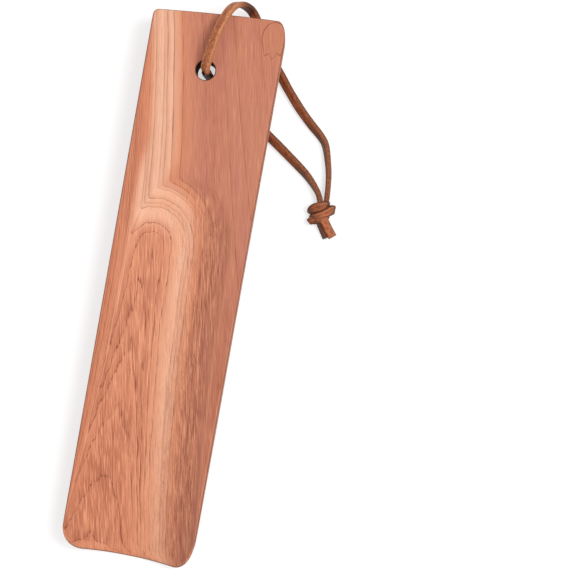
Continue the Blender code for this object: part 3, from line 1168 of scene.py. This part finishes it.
    def _flat_board(self) -> Value:
        """Finds the place in the board as if it lay flat.

        Returns:
            The place, in millimetres.
        """
        back = self.shape.pose().inverted()
        seen = self.bench.outputs("ShaderNodeTexCoord")["Object"]
        values = (seen, back.to_translation() / MM, back.to_euler(), (1 / MM, 1 / MM, 1 / MM))
        return self.bench.make("ShaderNodeMapping", *values)

    def _grain(self) -> Value:
        """Leans the place in the board along the grain, but for the two sides, cut along it.

        Returns:
            The place to lay the fibres on, in millimetres.
        """
        side = abs(self.bench.facing()[0]).rise(self.side_facing)
        aside = self.x + self.y * (1.0 - side) * self.grain_lean + self.height * side
        return self.bench.join(aside, self.y, self.height)

    def _grown(self) -> Value:
        """Works out the growth at each place in the board.

        Returns:
            The growth, in millimetres.
        """
        curl = self.along.line(self.curl_along, self.bow_across) + self.across * self.curl_across
        lean = self.along.line(self.skew, self.lean_across) + self.across * curl
        bow = self.along * self.along * self.bow_along
        grown = self.height + self.across * lean + bow + self.board.clouds(self.wander)
        return grown + self.grain.clouds(self.ripple) + self.grain.clouds(self.jitter)

    def _pace(self) -> Value:
        """Works out how fast the growth changes along the surface.

        Returns:
            The growth per millimetre.
        """
        squared = self.across * self.across
        curl = self.along.line(2 * self.curl_along, 2 * self.bow_across)
        sideways = self.along.line(self.skew, self.lean_across) + self.across * curl
        sideways += squared * (3 * self.curl_across)
        lengthways = self.across * self.skew + squared * self.curl_along
        lengthways += self.along * (2 * self.bow_along)
        aside, ahead, up = self.bench.facing()
        pace_x = sideways / self.unit_across - aside / up
        pace_y = lengthways / self.unit_along - ahead / up - math.tan(self.shape.slope)
        return (pace_x * pace_x + pace_y * pace_y).math("SQRT")

    def _sapwood(self) -> Value:
        """Masks the pale sapwood, which starts sooner at the scoop's upper end and fades at the tip.

        Returns:
            The mask.
        """
        nose = self.y.rise(self.sapwood_nose_place) * self.height.rise(self.sapwood_nose_height)
        soft = self.grown + nose + self.y.rise(self.sapwood_head_place)
        fade = self.tone.rise(self.sapwood_end) * self.y.rise(self.sapwood_tip_place)
        return soft.rise(self.sapwood_growth) * fade

    def _late_wood(self) -> tuple[Value, Value]:
        """Draws the thin dark line that ends each ring, and the band that darkens towards it.

        Returns:
            A mask of the lines and a mask of the bands.
        """
        thin = (self.pace * self.line_width).within(*self.line_limits)
        wide = (self.pace * self.band_width).within(*self.band_limits)
        start = Rise(thin * -1.0, 0.0)
        fine = self.bench.join(self.grown, 0.0, 0.0).clouds(self.fine_lines)
        lines = [fine.rise(Rise(*self.fine_share, self.pace.rise(self.fine_pace)))]
        bands = []
        for ring, depth in self.rings:
            away = self.grown - ring
            lines.append(abs(away).rise(Rise(thin, 0.0, depth)))
            bands.append(away.rise(Rise(wide, 0.0, depth)) * away.rise(start))
        flames = self.pace.rise(self.flame_pace)
        lines = lines[0].most(*lines[1:]) * self.grain.clouds(self.line_patches) * flames
        bands = bands[0].most(*bands[1:]) * self.grain.clouds(self.band_patches) * flames
        return lines.within(), bands.within()

    def _away(self, along: Value, middle: Pair, size: Pair) -> Value:
        """Measures how far the surface is from a line through the board.

        Args:
            along: The place along the board.
            middle: Where the line is, across and along.
            size: The unit across and the unit along.

        Returns:
            The distance, in those units.
        """
        x, y = ((place - at) / unit for place, at, unit in zip((self.x, along), middle, size))
        return (x * x + y * y).math("SQRT")

    def _figure(self) -> Value:
        """Draws the outline of the oval figure at the head's right corner, with its torn foot.

        Returns:
            A mask of the outline.
        """
        rough = self.x + self.board.clouds(self.figure_rough)
        teeth = rough.math("PINGPONG", self.figure_teeth) * self.y.rise(self.figure_foot)
        away = self._away(self.y + teeth, self.figure_place, self.figure_size)
        return abs(away - 1.0).rise(self.figure_line)

    def _fibres(self) -> tuple[Value, Value]:
        """Draws the fibres, which show most where the scoop cuts across them.

        Returns:
            A mask of pale fibres and a mask of dark flecks.
        """
        cut = self.height.rise(self.cut_height)
        pale = self.grain.clouds(self.pale_fibres) + self.grain.clouds(self.pale_broad)
        dashes = self.grain.clouds(self.dashes).rise(self.dash_share)
        dashes = (dashes * self.grain.clouds(self.dash_patches)).within()
        streaks = self.grain.clouds(self.streaks).rise(self.streak_share)
        torn = self.pace.rise(self.torn_pace) * abs(self.bench.facing()[1]).rise(self.torn_facing)
        return (pale * cut).within(), streaks.most(dashes) * cut * torn

    def _edge_shade(self) -> Value:
        """Masks the eased edges for painted shade, but hardly the sides."""
        return self.bench.steep(self.edge_shade_steep) * (1.0 - self.bench.steep(self.side_steep))

    def _hole_shade(self) -> Value:
        """Masks the wall of the hanging hole, which is painted dark as shade."""
        away = self._away(self.y, [place / MM for place in self.shape.hole()], (1.0, 1.0))
        return away.rise(self.hole_reach) * self.bench.steep(self.hole_steep)

    def _patches(self, cloud: Cloud, value: Value, rise: Rise) -> Value:
        """Masks patches along the grain where a value has risen."""
        return (self.grain.clouds(cloud) * value.rise(rise)).within()

    def build(self) -> bpy.types.Material:
        """Colours the wood and gives it its relief.

        Returns:
            The material.
        """
        lines, bands = self._late_wood()
        figure, hole = self._figure(), self._hole_shade()
        pale, flecks = self._fibres()
        colour = self.bench.layers(
            self.tone.ramp(self.heartwood),
            (self._sapwood(), self.sapwood_colour),
            # painted shade in patches where the rings are cut nearly along the surface
            (self._patches(self.shade_patches, self.pace, self.shade_pace), self.shade_colour),
            (bands, self.band_colour),
            (lines, self.line_colour),
            (figure, self.figure_colour),
            (self._patches(self.mauve_patches, self.tone, self.mauve_growth), self.mauve_colour),
            (pale, self.pale_colour),
            (flecks, self.fleck_colour),
            # painted shade along the eased edges
            (self._edge_shade(), self.edge_shading_colour),
            # painted shade on the hanging hole's wall
            (hole, self.hole_shade_colour),
        )
        relief = lines.most(figure) * self.line_depth - flecks
        looks = {
            "Base Color": colour,
            "Specular IOR Level": self.gloss,
            "Roughness": self.board.clouds(self.roughness).most(hole),
            "Normal": relief.bump(self.relief),
        }
        self.bench.feed_named(self.shader, looks)
        return self.material


@dataclass(frozen=True)
class LeatherFinish:
    """Dyed leather: two smooth faces, and cut sides that are rough and speckled.

    Its patterns lie on the lace attribute, which counts millimetres along the lace, and half widths
    and half thicknesses from its middle. Its other attribute holds painted shade and rubbing.
    """

    name: str = "brown_leather"
    side_share: Rise = Rise(-0.12, 0.12)
    face_clouds: Cloud = Cloud((1.6, 0.5, 0.5), detail=4.0)
    face_colours: tuple[Colour, Colour] = ((138, 66, 34), (206, 122, 76))
    cut_fibres: Cloud = Cloud((0.8, 0.25, 0.22), detail=4.0)
    cut_colours: tuple[Colour, Colour] = ((84, 40, 20), (206, 126, 80))
    # the cut sides of the rubbed stretch, painted lighter partly as lit
    rubbed_and_lit_colour: Colour = (224, 146, 100)
    rubbed_and_lit_share: float = 0.5
    speck_colour: Colour = (220, 150, 106)
    specks: Cloud = Cloud((0.3, 0.2, 0.2), detail=1.0)
    speck_share: Rise = Rise(0.25, -0.1, 0.5)
    speck_wear: Pair = (0.75, 0.25)
    pore_colour: Colour = (66, 33, 20)
    pores: Cloud = Cloud((0.4, 0.14, 0.14), detail=1.0)
    pore_share: Rise = Rise(0.65, 1.0, 0.75)
    # painted highlight along the lace's edges on the rubbed stretch
    edge_shading_colour: Colour = (226, 162, 120)
    edge_corner: Rise = Rise(0.42, 0.66)
    edge_gaps: Cloud = Cloud((0.4, 0.3, 0.3))
    edge_share: Rise = Rise(0.3, 0.7)
    edge_highlight_strength: float = 0.7
    # painted shade, as much as the strip's shade
    shade_colour: Colour = (78, 38, 20)
    # painted shade on the lace's steep sides, kept off the rubbed stretch
    side_shade_colour: Colour = (58, 29, 16)
    side_shade_steep: Rise = Rise(0.85, 0.45, 0.75)
    gloss: float = 0.35
    roughness: Pair = (0.25, 0.5)
    side_relief: Pair = (0.8, 0.2)
    relief: float = 0.0001

    def build(self) -> bpy.types.Material:
        """Makes the material.

        Returns:
            The material.
        """
        material, bench, shader = new_material(self.name)
        where, shade_and_wear = (
            bench.outputs("ShaderNodeAttribute", attribute_name=name)["Vector"]
            for name in ("lace", "shade_and_wear")
        )
        shade, rubbed_and_lit, _ = shade_and_wear.parts()
        _, across, through = (abs(part) for part in where.parts())
        side = (across - through).rise(self.side_share)
        fibres = where.clouds(self.cut_fibres)
        face = bench.mix(where.clouds(self.face_clouds), *self.face_colours)
        cut = bench.mix(fibres, *self.cut_colours)
        # cut sides painted lighter on the rubbed stretch, partly as lit
        cut = bench.mix(rubbed_and_lit * self.rubbed_and_lit_share, cut, self.rubbed_and_lit_colour)
        specks = where.clouds(self.specks).rise(self.speck_share)
        # painted highlight along the edges of the rubbed stretch
        edge_highlight = where.clouds(self.edge_gaps).rise(self.edge_share) * rubbed_and_lit * self.edge_highlight_strength
        colour = bench.layers(
            bench.mix(side, face, cut),
            (specks * rubbed_and_lit.line(*self.speck_wear), self.speck_colour),
            (where.clouds(self.pores).rise(self.pore_share), self.pore_colour),
            (edge_highlight * (across * through).rise(self.edge_corner), self.edge_shading_colour),
            # painted shade, per strip
            (shade, self.shade_colour),
            # painted shade on the steep sides
            (bench.steep(self.side_shade_steep) * (1.0 - rubbed_and_lit), self.side_shade_colour),
        )
        looks = {
            "Base Color": colour,
            "Specular IOR Level": self.gloss,
            "Roughness": side.line(*self.roughness),
            "Normal": (fibres * side.line(*self.side_relief)).bump(self.relief),
        }
        bench.feed_named(shader, looks)
        return material


@dataclass(frozen=True)
class Studio:
    """A white table, a big soft lamp high on the right, and pale light all round."""

    world_light: float = 0.6
    lamp_power: float = 2.5
    lamp_size: float = 0.28
    lamp_place: Triple = (0.34, 0.16, 0.62)
    table_size: float = 4.0
    table_colour: float = 0.5
    white_lift: float = 0.62

    def _floor(self) -> None:
        """Lays the table."""
        bpy.ops.mesh.primitive_plane_add(size=self.table_size)
        floor = bpy.context.object
        floor.name = "table"
        material, bench, shader = new_material("white_table")
        looks = {
            "Base Color": (*[self.table_colour] * 3, 1.0),
            "Roughness": 1.0,
            "Specular IOR Level": 0.0,
            "Emission Color": WHITE,
            "Emission Strength": bench.shown() * self.white_lift,
        }
        bench.feed_named(shader, looks)
        floor.data.materials.append(material)

    def _lamp(self) -> None:
        """Hangs the soft lamp, aimed at the board."""
        data = bpy.data.lights.new("soft_lamp", "AREA")
        data.energy = self.lamp_power
        data.size = self.lamp_size
        lamp = bpy.data.objects.new("soft_lamp", data)
        lamp.location = self.lamp_place
        lamp.rotation_euler = (-Vector(self.lamp_place)).to_track_quat("-Z", "Y").to_euler()
        bpy.context.collection.objects.link(lamp)

    def build(self) -> None:
        """Sets the table, the lamp, the light all round and the picture's colours."""
        self._floor()
        self._lamp()
        bpy.context.scene.view_settings.view_transform = "Standard"
        world = bpy.data.worlds.new("pale_room")
        world.use_nodes = True
        bench = Bench(world.node_tree)
        level = bench.shown().line(1 - self.world_light, self.world_light)
        bench.feed_named(world.node_tree.nodes["Background"], {"Color": WHITE, "Strength": level})
        bpy.context.scene.world = world


def dress(items: Iterable[Item], material: bpy.types.Material) -> None:
    """Gives pieces their finish and sets them on the horn's one body.

    Args:
        items: The pieces.
        material: Their finish.
    """
    for item in items:
        item.data.materials.clear()
        item.data.materials.append(material)
        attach(item, "root")
        log.info("%s: %d faces", item.name, len(item.data.polygons))


def main() -> None:
    """Builds the camera, the lace, the knot, the board and the studio, in that order."""
    logging.basicConfig(level=logging.INFO, format="%(message)s")
    PhotoCamera().build()
    knot = LaceKnot().build()
    strands = Lace().build(knot)
    dress([*strands, knot], LeatherFinish().build())
    board = CedarBoard()
    dress([board.build()], CedarFinish(board).build())
    Studio().build()


if __name__ == "__main__":
    main()
